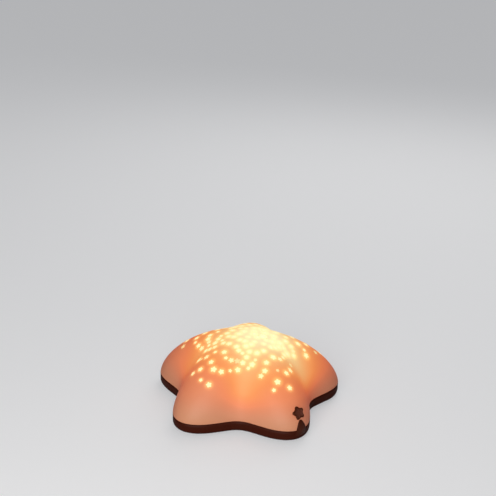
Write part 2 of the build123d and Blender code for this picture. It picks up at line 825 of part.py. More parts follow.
# ---- star button and its switch ---------------------------------------------------------
with BuildPart() as star_button:
    with BuildSketch(button_plane.offset(-seat_depth - seat_gap)) as cap_outline:
        with BuildLine():
            Polyline(*star_points(button_radius, button_waist, button_spin), close=True)
        make_face()
        fillet(cap_outline.vertices(), radius=button_corner)
    extrude(amount=seat_depth + seat_gap + button_proud)
    cap_rim = star_button.faces().sort_by_distance(button_plane.offset(100).origin)[0].edges()
    fillet(cap_rim, radius=button_edge)
    with BuildSketch(button_plane.offset(button_proud)) as dish_outline:
        with BuildLine():
            Polyline(*star_points(dish_radius, button_waist, button_spin), close=True)
        make_face()
        fillet(dish_outline.vertices(), radius=dish_corner)
    extrude(amount=-button_dish, mode=Mode.SUBTRACT)
    with BuildSketch(button_plane.offset(-seat_depth - seat_gap)):
        Circle(flange_radius)
    extrude(amount=-flange_thickness)
    with BuildSketch(button_plane.offset(-seat_depth)):
        Circle(stem_radius)
    extrude(amount=seat_depth - stem_end)
star_button.part.label = "star_button"
export_step(star_button.part, "parts/star_button.step")

board_face = tact_top + tact_height
with BuildPart() as switch_bracket:
    with BuildSketch(button_plane.offset(-bracket_top)):
        Rectangle(2 * bracket_half_length, 2 * bracket_half_width)
    extrude(amount=-bracket_thickness)
    with BuildSketch(button_plane.offset(-guide_top)):
        Circle(guide_radius)
    extrude(amount=guide_top - bracket_top)
    with BuildSketch(button_plane.offset(-bracket_top)):
        with Locations((-(leg_inner + leg_outer) / 2, 0), ((leg_inner + leg_outer) / 2, 0)):
            Rectangle(leg_outer - leg_inner, 2 * leg_half_width)
    extrude(amount=bracket_top - leg_end)
    # grooves that hold the switch board
    with BuildSketch(button_plane.offset(-board_face + groove_fit)):
        Rectangle(2 * (leg_inner + groove_depth), 2 * leg_half_width)
    extrude(amount=-switch_board_thickness - 2 * groove_fit, mode=Mode.SUBTRACT)
    with BuildSketch(button_plane.offset(-guide_top)):
        Circle(stem_radius + stem_fit)
    extrude(amount=guide_top - bracket_top - bracket_thickness, mode=Mode.SUBTRACT)
    with BuildSketch(button_plane.offset(-bracket_top)):
        with Locations((-lug_offset, 0), (lug_offset, 0)):
            Circle(bracket_hole_radius)
    extrude(amount=-bracket_thickness, mode=Mode.SUBTRACT)
switch_bracket.part.label = "switch_bracket"
export_step(switch_bracket.part, "parts/switch_bracket.step")

with BuildPart() as bracket_screws:
    with BuildSketch(button_plane.offset(-bracket_top - bracket_thickness)):
        with Locations((-lug_offset, 0), (lug_offset, 0)):
            Circle(bracket_head_radius)
    extrude(amount=-bracket_head_height)
    with BuildSketch(button_plane.offset(-bracket_top - bracket_thickness)):
        with Locations((-lug_offset, 0), (lug_offset, 0)):
            Circle(bracket_shank_radius)
    extrude(amount=bracket_shank_length)
bracket_screws.part.label = "bracket_screws"
export_step(bracket_screws.part, "parts/bracket_screws.step")

with BuildPart() as switch_board:
    with BuildSketch(button_plane.offset(-board_face)):
        Rectangle(2 * switch_board_half, 2 * switch_board_width)
    extrude(amount=-switch_board_thickness)
switch_board.part.label = "switch_board"
export_step(switch_board.part, "parts/switch_board.step")

with BuildPart() as tact_switch:
    with BuildSketch(button_plane.offset(-tact_top)):
        Rectangle(2 * tact_half, 2 * tact_half)
    extrude(amount=-tact_height)
    with BuildSketch(button_plane.offset(-tact_top)):
        Circle(plunger_radius + plunger_fit)
    extrude(amount=-plunger_well, mode=Mode.SUBTRACT)
tact_switch.part.label = "tact_switch"
export_step(tact_switch.part, "parts/tact_switch.step")

with BuildPart() as switch_plunger:
    with BuildSketch(button_plane.offset(-stem_end)):
        Circle(plunger_radius)
    extrude(amount=stem_end - tact_top - plunger_depth)
switch_plunger.part.label = "switch_plunger"
export_step(switch_plunger.part, "parts/switch_plunger.step")

# ---- wires ------------------------------------------------------------------------------
switch_solder = button_plane.offset(-board_face - switch_board_thickness - wire_radius).origin


def arm_point(reach, height):
    """Point above the centre line of the button arm."""
    return tip_dir * reach + Vector(0, star_y, height)


def bend_radii(points):
    """Wide bend for each corner of a wire's route."""
    radii = []
    for before, corner, after in zip(points, points[1:], points[2:]):
        turn = math.radians((corner - before).get_angle(after - corner))
        shorter = min((corner - before).length, (after - corner).length)
        radii.append(bend_share * shorter / math.tan(turn / 2))
    return radii


switch_stops = [arm_point(reach, height) for reach, height in switch_lead_stops]
switch_end = arm_point(switch_lead_end, board_top + wire_radius)
routes = {"switch_lead": [switch_solder] + switch_stops + [switch_end]}
for label, (tab_x, tab_y) in zip(("battery_lead_minus", "battery_lead_plus"), tab_places):
    side = math.copysign(1, tab_x)
    outside = tab_x + side * (plate_thickness / 2 + wire_radius)
    routes[label] = [
        Vector(outside, star_y + tab_y, roof_top + lead_start),
        Vector(outside, star_y + tab_y, board_top + lead_knee),
        Vector(outside - side * lead_side, star_y + tab_y, board_top + lead_lift),
        Vector(side * (board_half_length - lead_inset), star_y + tab_y, board_top + wire_radius),
    ]
for label, route in routes.items():
    with BuildPart() as wire_part:
        with BuildLine() as wire_path:
            FilletPolyline(*route, radius=bend_radii(route))
        with BuildSketch(Plane(origin=route[0], z_dir=route[1] - route[0])):
            Circle(wire_radius)
        sweep(path=wire_path.line)
    wire_part.part.label = label
    export_step(wire_part.part, f"parts/{label}.step")
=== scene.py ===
# %% [markdown]
# # A star night light projector
#
# The lamp is a puffy five-armed star: a translucent shell with many small star windows
# stands on a shallow dark brown case. A lamp inside makes the crown glow pale yellow,
# then orange, and leaves the arms a soft peach. The CAD part holds every solid piece, and
# this file dresses it: each step says what a piece is, how it could be made, and why this
# way.

import json
import math

import bpy
import numpy as np
from mathutils import Euler, Matrix, Vector


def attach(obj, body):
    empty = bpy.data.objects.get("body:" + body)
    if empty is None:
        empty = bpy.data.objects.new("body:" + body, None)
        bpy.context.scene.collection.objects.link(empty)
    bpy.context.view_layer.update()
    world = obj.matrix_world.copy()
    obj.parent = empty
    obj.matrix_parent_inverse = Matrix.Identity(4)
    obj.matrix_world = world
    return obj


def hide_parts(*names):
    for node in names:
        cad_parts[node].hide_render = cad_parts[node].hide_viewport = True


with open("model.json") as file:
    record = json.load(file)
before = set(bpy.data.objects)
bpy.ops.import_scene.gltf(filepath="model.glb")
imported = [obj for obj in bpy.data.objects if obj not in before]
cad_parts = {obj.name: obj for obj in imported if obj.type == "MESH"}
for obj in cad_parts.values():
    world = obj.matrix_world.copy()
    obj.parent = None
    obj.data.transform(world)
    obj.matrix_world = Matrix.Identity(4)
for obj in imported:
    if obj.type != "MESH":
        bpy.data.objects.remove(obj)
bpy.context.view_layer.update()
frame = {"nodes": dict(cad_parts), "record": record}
nodes = frame["nodes"]

# %% [markdown]
# ## The star's own formula
#
# The outline is a circle whose radius swells at five arms and sinks at five valleys, so
# one cosine of five times the angle describes it. The dome above it is the same outline,
# smaller and smaller towards the crown, lifted along a rounded profile. The same numbers
# stand in the CAD source, in millimetres, and so the dressed shell lies on the solid one.

# %% Sizes of the star, in metres
MM = 0.001
shell_radius = 89.5 * MM
shell_wall = 2.0 * MM
seam_height = 13.5 * MM
crown_height = 78.5 * MM
arm_swing = 0.162
tip_sharpness = 0.005
shoulder_power = 1.45
rim_power = 1.6
crown_softness = 0.35
ridge_gain = -0.3
crown_blend = 0.6
arm_count = 5
case_bottom = 1.5 * MM
case_edge_round = 4.5 * MM
button_turn = math.radians(308)
button_place = 0.944
button_radius = 7.1 * MM
button_waist = 0.73
button_spin = math.radians(6)
star_point_power = 1.1
nearest_level = 0.003  # a normal is taken no nearer to the crown than this, as its point has none


def star_radius(level, turn, mean):
    """Mean radius times the level, swelled by a cosine of five times the turn; the swell
    grows from nothing at the crown to its full share at the rim. A second, fainter cosine
    of ten times the turn sharpens the tips."""
    ease = np.tanh(level / crown_blend) / math.tanh(1 / crown_blend)
    swing = arm_swing * (1 + ridge_gain * (1 - level)) * ease
    phase = arm_count * (turn - math.pi / 2)
    wave = swing * np.cos(phase) + tip_sharpness * level**2 * np.cos(2 * phase)
    return mean * level * (1 + wave)


def level_height(level, crown):
    """Seam height plus a superellipse of the level: flat over the crown, steep at the rim."""
    full = math.sqrt(1 + crown_softness**2) - crown_softness
    soft = (np.sqrt(level**2 + crown_softness**2) - crown_softness) / full
    rise = np.clip(1 - soft**shoulder_power, 0, 1) ** (1 / rim_power)
    return seam_height + (crown - seam_height) * rise


turns = np.linspace(0, 2 * math.pi, 720, endpoint=False)
reach_back = (star_radius(1.0, turns, shell_radius) * np.sin(turns)).max()
reach_front = (star_radius(1.0, turns, shell_radius) * np.sin(turns)).min()
star_y = -(reach_back + reach_front) / 2
print("the star's axis stands at y =", round(star_y / MM, 2), "mm")


def dome_points(level, turn, mean=shell_radius, crown=crown_height):
    """Points of the dome: radius from the outline formula, height from the profile."""
    reach = star_radius(level, turn, mean)
    height = level_height(level, crown) + 0 * turn
    return np.stack([reach * np.cos(turn), star_y + reach * np.sin(turn), height], -1)


def dome_normals(level, turn):
    """Cross product of two small steps on the dome, one around and one towards the crown."""
    level, step = np.clip(level, nearest_level, 1), 1e-4
    low, high = np.clip(level - step, 1e-5, 1), np.clip(level + step, 1e-5, 1)
    across = dome_points(level, turn + step) - dome_points(level, turn - step)
    upward = dome_points(low, turn) - dome_points(high, turn)
    normal = np.cross(across, upward)
    return normal / np.linalg.norm(normal, axis=-1, keepdims=True)


def button_frame():
    """Origin, sideways, uphill and outward directions of the button's seat."""
    level, turn = np.array([button_place]), np.array([button_turn])
    outward = dome_normals(level, turn)[0]
    across = np.cross([0, 0, 1.0], outward)
    across /= np.linalg.norm(across)
    return dome_points(level, turn)[0], across, np.cross(outward, across), outward


def button_reach(angle):
    """Reach of the button's star: from waist to point with a cosine of five times the angle."""
    wave = (1 + np.cos(arm_count * (angle - button_spin - math.pi / 2))) / 2
    return button_radius * (button_waist + (1 - button_waist) * wave**star_point_power)


def level_at(x, y):
    """Level whose outline passes above a point: halving the interval forty times."""
    turn = np.arctan2(y - star_y, x)
    wanted = np.hypot(x, y - star_y)
    low, high = np.zeros_like(wanted), np.ones_like(wanted)
    for _ in range(40):
        middle = (low + high) / 2
        inside = star_radius(middle, turn, shell_radius) < wanted
        low, high = np.where(inside, middle, low), np.where(inside, high, middle)
    return (low + high) / 2, turn


# %% [markdown]
# ## From arrays to meshes
#
# Every new piece is a grid of points worked out in one go. Neighbouring rows and columns
# make four-sided faces, and a grid that closes on itself joins its last column to its
# first. A pole is closed with a fan, and the last row is joined to the first, so the shell,
# the band, the tongue and the button are closed skins. The windows are thin patches that
# lie on the shell.

# %% Helpers that turn arrays into pieces


def add_mesh(name, points, faces, body):
    """Put points and faces into a mesh whose object sits at the origin, on one CAD body."""
    mesh = bpy.data.meshes.new(name)
    mesh.from_pydata(points.reshape(-1, 3), [], faces)
    mesh.update()
    mesh.polygons.foreach_set("use_smooth", np.full(len(mesh.polygons), True))
    piece = bpy.data.objects.new(name, mesh)
    bpy.context.scene.collection.objects.link(piece)
    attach(piece, body)
    print(name, "has", len(mesh.vertices), "points and", len(mesh.polygons), "faces")
    return piece


def grid_faces(rows, columns, start=0):
    """Four-sided faces between neighbouring rows of a grid whose columns close on themselves."""
    row, column = np.meshgrid(np.arange(rows - 1), np.arange(columns), indexing="ij")
    beside = (column + 1) % columns
    corners = [row * columns + column, row * columns + beside,
               (row + 1) * columns + beside, (row + 1) * columns + column]
    return (np.stack(corners, -1).reshape(-1, 4) + start).tolist()


def closing_faces(last, columns):
    """Four-sided faces from the last row, which starts at that index, back to the first."""
    around = np.arange(columns)
    beside = (around + 1) % columns
    return np.stack([last + around, last + beside, beside, around], -1).tolist()


def fan_faces(row, columns, pole, turned=False):
    """Triangles from the row that starts at an index to one pole; turned, they face back."""
    around = np.arange(columns)
    beside = (around + 1) % columns
    first, second = (beside, around) if turned else (around, beside)
    return np.stack([row + first, row + second, np.full(columns, pole)], -1).tolist()


def add_attribute(piece, name, values):
    """Store one number for each point of the mesh, for its material to read."""
    layer = piece.data.attributes.new(name, "FLOAT", "POINT")
    layer.data.foreach_set("value", np.ascontiguousarray(values, dtype=np.float32).ravel())


# %% [markdown]
# ## Where the windows are
#
# The real shell has many small star windows, close together over the crown, further out
# on the arms than in the valleys, and gone on the tips. A golden-angle spiral spreads
# points evenly without rows, as seeds lie in a sunflower. Every fourth place is one of the
# large windows that CAD cuts through the wall; the others are thinner spots of the same
# wall. Some are small, and a few are thicker and dimmer than the rest.

# %% Window places and sizes
window_places = 160
window_spread = 0.73
window_swing = 0.14
window_radius = 4.5 * MM
golden_angle = 137.508
spin_step = 1.7
large, medium, small = 1.0, 0.88, 0.62
clear_power, cloudy_power, thick_power = 1.0, 0.75, 0.35
crown_field = 0.45  # no window nearer to the crown than this level is dimmer

place = np.arange(window_places)
window_turn = np.radians(place * golden_angle)
field_reach = window_spread * (1 + window_swing * np.cos(arm_count * (window_turn - math.pi / 2)))
window_level = field_reach * np.sqrt((place + 1.5) / (window_places + 1))
window_size = np.select([place % 4 == 0, place % 4 == 2], [large, small], medium) * window_radius
window_spin = np.where(place % 4 == 0, 0.0, place * spin_step)
window_power = np.select([window_level < crown_field, place % 9 == 5, place % 5 == 3],
                         [clear_power, thick_power, cloudy_power], clear_power)
window_centre = dome_points(window_level, window_turn)
window_normal = dome_normals(window_level, window_turn)
print(window_places, "windows, the widest", round(2 * window_size.max() / MM, 1), "mm")

# %% [markdown]
# ## How bright the shell is
#
# One lamp stands below the crown, a little to one side. A patch of the shell gets light
# by the inverse square of its distance and by how squarely it faces the lamp. Worked out
# for each point and stored with the mesh, this one number lets the material glow as the
# real wall does: bright over the crown and in the valleys, dim on the tips of the arms and
# beside the white deck, which throws the light upwards and leaves the foot of the wall in
# its shade.

# %% Light that reaches the shell from inside
lamp_place = np.array([9 * MM, star_y, 40 * MM])
shade_height = 30 * MM
shade_left = 0.30
halo_width = 1.3


def inner_light(points, normals):
    """Cosine to the lamp over the square of the distance, as a share of its value at the
    crown; a smooth step of the height takes most of it away near the seam."""
    away = points - lamp_place
    distance = np.linalg.norm(away, axis=-1)
    facing = np.clip((away * normals).sum(-1) / distance, 0, 1)
    top = crown_height - lamp_place[2]
    climb = np.clip((points[..., 2] - seam_height) / shade_height, 0, 1)
    clear = shade_left + (1 - shade_left) * climb**2 * (3 - 2 * climb)
    return facing * (top / distance) ** 2 * clear


def window_halo(points):
    """Soft spot around each window: a bell curve of the distance, the brightest one wins.
    It is worked out for a few thousand points at a time, to save memory."""
    halo, batch = np.zeros(len(points)), 8000
    for start in range(0, len(points), batch):
        gap = np.linalg.norm(points[start:start + batch, None] - window_centre[None], axis=-1)
        spot = window_power * np.exp(-((gap / (halo_width * window_size)) ** 2))
        halo[start:start + batch] = spot.max(1)
    return halo


share_of_light = inner_light(window_centre, window_normal)
print("light at the windows, as a share of the crown's:", share_of_light.min().round(2), "to",
      share_of_light.max().round(2))

# %% [markdown]
# ## The star shell
#
# The shell is one moulding with a two millimetre wall. It could be a subdivided cage
# pulled into shape, but the formula gives the exact dome, so the outside is a fine grid
# over level and turn, evenly spaced along the profile. A small rounded lip at the seam and
# a flat ring from it to the inner wall close the skin. The real shell has a hole for the
# button; here the skin is sunk under the button, which hides the difference.

# %% Build the star shell
outline_points = 480
shell_rings = 150
inner_rings = 24
lip = 0.6 * MM
sink_share = 0.8
sink_depth = 1.6 * MM
sink_reach = 5 * MM


def even_levels(count):
    """Levels spaced evenly along the dome's profile, from the rim to just short of the crown."""
    fine = np.linspace(1, 0, 4000)
    across, up = np.diff(fine) * shell_radius, np.diff(level_height(fine, crown_height))
    travelled = np.concatenate([[0], np.cumsum(np.hypot(across, up))])
    return np.interp(np.linspace(0, travelled[-1], count + 1)[:-1], travelled, fine)


def sink_under_button(points):
    """Points whose place, as a share of the way to the button's outline, is under a limit
    move inwards along the button's axis, which leaves room for the button to be pressed."""
    origin, across, uphill, outward = button_frame()
    away = points - origin
    sideways, upward = away @ across, away @ uphill
    share = np.hypot(sideways, upward) / button_reach(np.arctan2(upward, sideways))
    sunk = (share < sink_share) & (np.abs(away @ outward) < sink_reach)
    return points - sink_depth * sunk[:, None] * outward


def build_shell():
    """Outside from the rounded lip to the crown, then the inner wall back down to the seam."""
    turn = np.linspace(0, 2 * math.pi, outline_points, endpoint=False)[None, :]
    bend = np.linspace(0, math.pi / 2, 5)[:-1, None]
    reach = star_radius(1.0, turn, shell_radius - lip * (1 - np.sin(bend)))
    height = seam_height + lip * (1 - np.cos(bend)) + 0 * turn
    lip_rows = np.stack([reach * np.cos(turn), star_y + reach * np.sin(turn), height], -1)
    levels = even_levels(shell_rings)
    levels = levels[level_height(levels, crown_height) > seam_height + lip][:, None]
    outside = np.concatenate([lip_rows, dome_points(levels, turn)])
    inside = dome_points(even_levels(inner_rings)[::-1, None], turn,
                         shell_radius - shell_wall, crown_height - shell_wall)
    crown = np.array([[0, star_y, crown_height]])
    inner_crown = crown - [0, 0, shell_wall]
    points = np.concatenate([sink_under_button(outside.reshape(-1, 3)), crown,
                             inside.reshape(-1, 3), inner_crown])
    top = len(outside) * outline_points
    start = top + 1
    bottom = start + len(inside) * outline_points
    faces = grid_faces(len(outside), outline_points)
    faces += fan_faces(top - outline_points, outline_points, top)
    faces += grid_faces(len(inside), outline_points, start)
    faces += fan_faces(start, outline_points, bottom, turned=True)
    faces += closing_faces(bottom - outline_points, outline_points)
    piece = add_mesh("star_shell_skin", points, faces, "lamp")
    level, turn_at = level_at(points[:, 0], points[:, 1])
    add_attribute(piece, "inner_light", inner_light(points, dome_normals(level, turn_at)))
    add_attribute(piece, "halo", window_halo(points))
    return piece


star_shell = build_shell()
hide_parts("star_shell")

# %% [markdown]
# ## The star windows
#
# Each window is a small puffed star that follows the dome, and one of them is a crescent
# moon. So many copies must stay light, so one star is a fan of twenty points around its
# middle and one ring between. Its flat pattern is laid on the plane that touches the dome
# there, and each point is then moved straight down or up to the dome, so the star bends
# with the shell. The edge sinks just under the skin, and so no crack shows.

# %% Build the star windows
star_corners = 20
star_waist = 0.60
ring_share = 0.62
crescent_place = 13
crescent_middle = np.array([[-0.95, 0.0]])
edge_sink, ring_rise, middle_rise = 0.10 * MM, 0.16 * MM, 0.20 * MM
ring_glow = 0.8


def star_pattern():
    """Edge, inner ring and middle of a five-pointed star whose tips reach one: the reach
    swings between tip and waist with the angle."""
    angle = np.linspace(0, 2 * math.pi, star_corners, endpoint=False) + math.pi / 2
    wave = (1 + np.cos(arm_count * (angle - math.pi / 2))) / 2
    reach = star_waist + (1 - star_waist) * wave**star_point_power
    edge = np.stack([reach * np.cos(angle), reach * np.sin(angle)], -1)
    return np.concatenate([edge, ring_share * edge, [[0.0, 0.0]]])


def crescent_pattern():
    """Edge, inner ring and middle of a crescent: an outer arc goes from horn to horn, and a
    flatter arc, part of an ellipse moved sideways, comes back."""
    horn, sweep = math.radians(60), math.radians(240)
    tall, bulge, shift = 1.5, 0.4125, 0.34
    share = np.linspace(0, 1, star_corners // 2, endpoint=False)
    out, back = horn + share * sweep, horn + (1 - share) * sweep
    outer = np.stack([tall * np.cos(out), tall * np.sin(out)], -1)
    inner = np.stack([bulge * np.cos(back) + shift, tall * np.sin(back)], -1)
    edge = np.concatenate([outer, inner])
    return np.concatenate([edge, 0.8 * edge + 0.2 * crescent_middle, crescent_middle])


def build_windows():
    """All patterns at once: turned in their own plane, laid on the touching planes of the
    dome, dropped on the dome and raised along its normal towards the middle."""
    pattern = np.repeat(star_pattern()[None], window_places, axis=0)
    pattern[crescent_place] = crescent_pattern()
    pattern *= window_size[:, None, None]
    cosine, sine = np.cos(window_spin)[:, None], np.sin(window_spin)[:, None]
    sideways = pattern[..., 0] * cosine - pattern[..., 1] * sine
    upward = pattern[..., 0] * sine + pattern[..., 1] * cosine
    across = np.cross([0, 0, 1.0], window_normal)
    across /= np.linalg.norm(across, axis=-1, keepdims=True)
    uphill = np.cross(window_normal, across)
    spot = window_centre[:, None] + sideways[..., None] * across[:, None]
    spot += upward[..., None] * uphill[:, None]
    level, turn = level_at(spot[..., 0], spot[..., 1])
    rise = np.repeat([-edge_sink, ring_rise, middle_rise], [star_corners, star_corners, 1])
    points = dome_points(level, turn) + rise[:, None] * dome_normals(level, turn)
    faces = []
    patch = pattern.shape[1]
    for start in range(0, window_places * patch, patch):
        faces += grid_faces(2, star_corners, start)
        faces += fan_faces(start + star_corners, star_corners, start + 2 * star_corners)
    piece = add_mesh("star_windows", points, faces, "lamp")
    light = inner_light(np.repeat(window_centre, patch, axis=0),
                        np.repeat(window_normal, patch, axis=0))
    add_attribute(piece, "inner_light", light)
    glow = np.repeat([0.0, ring_glow, 1.0], [star_corners, star_corners, 1])
    add_attribute(piece, "middle", window_power[:, None] * glow)
    return piece


star_windows = build_windows()

# %% [markdown]
# ## Materials
#
# Moulded plastic is never one flat colour: it has a fine grain, a slight cloudiness and
# small changes of gloss. One helper adds these to a Principled shader with two noises on
# Object coordinates, one fine for the bump and one broad for colour and roughness. Others
# turn a number stored with the mesh into a colour.

# %% Helpers for moulded finishes
cloud_scale = 60.0
gloss_drift = 0.07
bump_strength = 0.12
bump_height = 0.2 * MM


def new_material(name, color, rough, grain=1.0, grain_size=0.0006, cloud=0.06, metallic=0.0):
    """Principled shader whose colour and roughness drift with a broad noise and whose bump
    follows a fine one; grain is the strength of that bump, grain_size the width of a grain
    in metres, and cloud the share by which the colour drifts."""
    material = bpy.data.materials.new(name)
    material.use_nodes = True
    tree = material.node_tree
    shader = tree.nodes["Principled BSDF"]
    place_at = tree.nodes.new("ShaderNodeTexCoord")
    broad = tree.nodes.new("ShaderNodeTexNoise")
    broad.inputs["Scale"].default_value = cloud_scale
    broad.inputs["Detail"].default_value = 4.0
    fine = tree.nodes.new("ShaderNodeTexNoise")
    fine.inputs["Scale"].default_value = 1 / grain_size
    fine.inputs["Detail"].default_value = 3.0
    tree.links.new(place_at.outputs["Object"], broad.inputs["Vector"])
    tree.links.new(place_at.outputs["Object"], fine.inputs["Vector"])
    tint = tree.nodes.new("ShaderNodeMix")
    tint.data_type = "RGBA"
    tint.inputs["A"].default_value = (*[c * (1 - cloud) for c in color], 1)
    tint.inputs["B"].default_value = (*[min(1, c * (1 + cloud)) for c in color], 1)
    tree.links.new(broad.outputs["Fac"], tint.inputs["Factor"])
    tree.links.new(tint.outputs["Result"], shader.inputs["Base Color"])
    gloss = tree.nodes.new("ShaderNodeMapRange")
    gloss.inputs["To Min"].default_value = max(0.03, rough - gloss_drift)
    gloss.inputs["To Max"].default_value = min(1.0, rough + gloss_drift)
    tree.links.new(broad.outputs["Fac"], gloss.inputs["Value"])
    tree.links.new(gloss.outputs["Result"], shader.inputs["Roughness"])
    bump = tree.nodes.new("ShaderNodeBump")
    bump.inputs["Strength"].default_value = bump_strength * grain
    bump.inputs["Distance"].default_value = bump_height
    tree.links.new(fine.outputs["Fac"], bump.inputs["Height"])
    tree.links.new(bump.outputs["Normal"], shader.inputs["Normal"])
    shader.inputs["Metallic"].default_value = metallic
    return material, tree, shader, tint


def color_ramp(tree, source, stops):
    """Colour ramp with the given (position, colour) stops, fed by a socket."""
    ramp = tree.nodes.new("ShaderNodeValToRGB")
    while len(ramp.color_ramp.elements) < len(stops):
        ramp.color_ramp.elements.new(0.5)
    for element, (position, color) in zip(ramp.color_ramp.elements, stops):
        element.position = position
        element.color = (*color, 1)
    tree.links.new(source, ramp.inputs["Fac"])
    return ramp


def read_attribute(tree, name):
    """Socket with one stored number of the mesh."""
    node = tree.nodes.new("ShaderNodeAttribute")
    node.attribute_name = name
    return node.outputs["Fac"]


def tint_by(tree, tint, source, stops):
    """Both ends of the cloudy mix take one ramp's colour, so that the ramp alone counts."""
    color = color_ramp(tree, source, stops).outputs["Color"]
    tree.links.new(color, tint.inputs["A"])
    tree.links.new(color, tint.inputs["B"])


# %% [markdown]
# ## The glowing shell
#
# Lit from inside, the wall takes its colour from how much light it gets: peach where
# little arrives, orange in between, pale yellow over the crown. The base colour is the
# plastic's pale tone with painted glow in it: it follows the same stored light, a warm
# peach where little arrives and a duller beige over the crown. The emission adds the
# glow, stronger around each window.

# %% Shell and window materials
# Painted glow in the base colour: it follows the stored inner light, warm peach where little light
# arrives and a duller beige where the emission is strong.
glow_tinted_base_stops = [(0.07, (0.62, 0.33, 0.185)), (0.15, (0.60, 0.29, 0.150)),
               (0.25, (0.52, 0.22, 0.085)), (0.45, (0.46, 0.22, 0.09)), (0.8, (0.36, 0.25, 0.14))]
glow_stops = [(0.04, (0.12, 0.003, 0.001)), (0.08, (0.20, 0.008, 0.002)),
              (0.12, (0.29, 0.022, 0.004)), (0.18, (0.46, 0.066, 0.014)),
              (0.29, (0.61, 0.19, 0.050)), (0.45, (0.65, 0.33, 0.125)),
              (0.60, (0.69, 0.47, 0.21)), (0.85, (0.76, 0.66, 0.35))]
halo_stops = [(0.0, (0, 0, 0)), (0.25, (0.03, 0.02, 0.003)), (0.60, (0.22, 0.17, 0.05)),
              (1.0, (0.6, 0.5, 0.2))]
window_stops = [(0.0, (0.55, 0.25, 0.07)), (0.5, (0.95, 0.72, 0.32)), (1.0, (1.0, 0.90, 0.48))]


def glowing_shell():
    """Base colour and emission follow the stored inner light; the halo adds to the emission."""
    material, tree, shader, tint = new_material("shell_plastic_lit", (0.74, 0.33, 0.18), 0.5, 0.5)
    shader.inputs["Specular IOR Level"].default_value = 0.3
    light = read_attribute(tree, "inner_light")
    tint_by(tree, tint, light, glow_tinted_base_stops)
    glow = color_ramp(tree, light, glow_stops)
    around = color_ramp(tree, read_attribute(tree, "halo"), halo_stops)
    total = tree.nodes.new("ShaderNodeMix")
    total.data_type = "RGBA"
    total.blend_type = "ADD"
    total.inputs["Factor"].default_value = 1.0
    tree.links.new(glow.outputs["Color"], total.inputs["A"])
    tree.links.new(around.outputs["Color"], total.inputs["B"])
    tree.links.new(total.outputs["Result"], shader.inputs["Emission Color"])
    shader.inputs["Emission Strength"].default_value = 1.0
    return material


def glowing_window():
    """Nearly clear spot: bright pale yellow in its middle, a little warmer at its edge."""
    material, tree, shader, _ = new_material("window_plastic_lit", (0.55, 0.40, 0.20), 0.3, 0.4)
    glow = color_ramp(tree, read_attribute(tree, "middle"), window_stops)
    tree.links.new(glow.outputs["Color"], shader.inputs["Emission Color"])
    shader.inputs["Emission Strength"].default_value = 0.9
    return material


def dress(piece, material):
    """Give one piece one material."""
    piece.data.materials.clear()
    piece.data.materials.append(material)


dress(star_shell, glowing_shell())
dress(star_windows, glowing_window())
print("dressed", star_shell.name, "and", star_windows.name)

# %% [markdown]
# ## The brown case
#
# The lower case is a shallow tray in dark brown plastic with a rounded lower edge. The
# CAD solid has the true shape and everything inside. Its visible band is covered with a
# smooth skin a few hundredths of a millimetre proud, because a band of loose triangles
# shades unevenly where a moulded wall shades softly.

# %% Build the band of the case
skin_proud = 0.05 * MM
band_wall = 0.6 * MM
band_middle = 10 * MM
seam_gap = 0.02 * MM


def build_case_band():
    """Profile up the case's side, a quarter round and then a straight wall, swept along the
    star outline, and back down just inside the wall."""
    turn = np.linspace(0, 2 * math.pi, outline_points, endpoint=False)[None, :]
    bend = np.linspace(0, math.pi / 2, 10)[:, None]
    inset = np.concatenate([case_edge_round * (1 - np.sin(bend)), [[0.0]], [[0.0]]])
    height = np.concatenate([case_bottom + case_edge_round * (1 - np.cos(bend)),
                             [[band_middle]], [[seam_height - seam_gap]]])
    outer = star_radius(1.0, turn, shell_radius - inset + skin_proud)
    inner = star_radius(1.0, turn, shell_radius - inset - band_wall)[::-1]
    reach = np.concatenate([outer, inner])
    rise = np.concatenate([height, height[::-1]]) + 0 * turn
    points = np.stack([reach * np.cos(turn), star_y + reach * np.sin(turn), rise], -1)
    faces = grid_faces(len(points), outline_points)
    faces += closing_faces((len(points) - 1) * outline_points, outline_points)
    return add_mesh("case_band", points, faces, "lamp")


case_band = build_case_band()
brown, _, brown_shader, _ = new_material("case_plastic_brown", (0.056, 0.0082, 0.0026), 0.5, 1.2)
brown_shader.inputs["Specular IOR Level"].default_value = 0.1
dress(case_band, brown)

# %% [markdown]
# ## The tongue on the button arm
#
# Where the star button sits, the case sends a tongue up the arm: a narrow arch, full in
# its middle like a petal. Its outline is one parabola, and its fullness is a
# rounded cross-section that dies away towards the top. The grid runs across the front
# and back again behind, so the petal is closed all round.

# %% Build the tongue
tongue_width = 12.2 * MM
tongue_height = 9.8 * MM
tongue_root = 7.0 * MM
tongue_proud = 1.0 * MM
tongue_cover = 0.15 * MM
tongue_depth = 1.2 * MM
tongue_sink = 0.1 * MM
tongue_roundness = 0.4
root_power = 0.6
least_share = 2e-5
tongue_rows, tongue_columns = 44, 31
# Painted highlight: the tongue's brown grows paler towards its crest, where the rounded front would
# catch the light.
tongue_highlight_stops = [(0.0, (0.062, 0.010, 0.0026)), (0.35, (0.064, 0.013, 0.004)),
                (1.0, (0.082, 0.020, 0.010))]


def side_points(height, turn):
    """Points on the outer wall of the lamp: the case below the seam, the dome above it."""
    innermost_level = 0.85
    fine = np.linspace(1, innermost_level, 600)
    level = np.interp(height, level_height(fine, crown_height), fine)
    level = np.where(height < seam_height, 1.0, level)
    reach = star_radius(level, turn, shell_radius)
    return np.stack([reach * np.cos(turn), star_y + reach * np.sin(turn), height], -1)


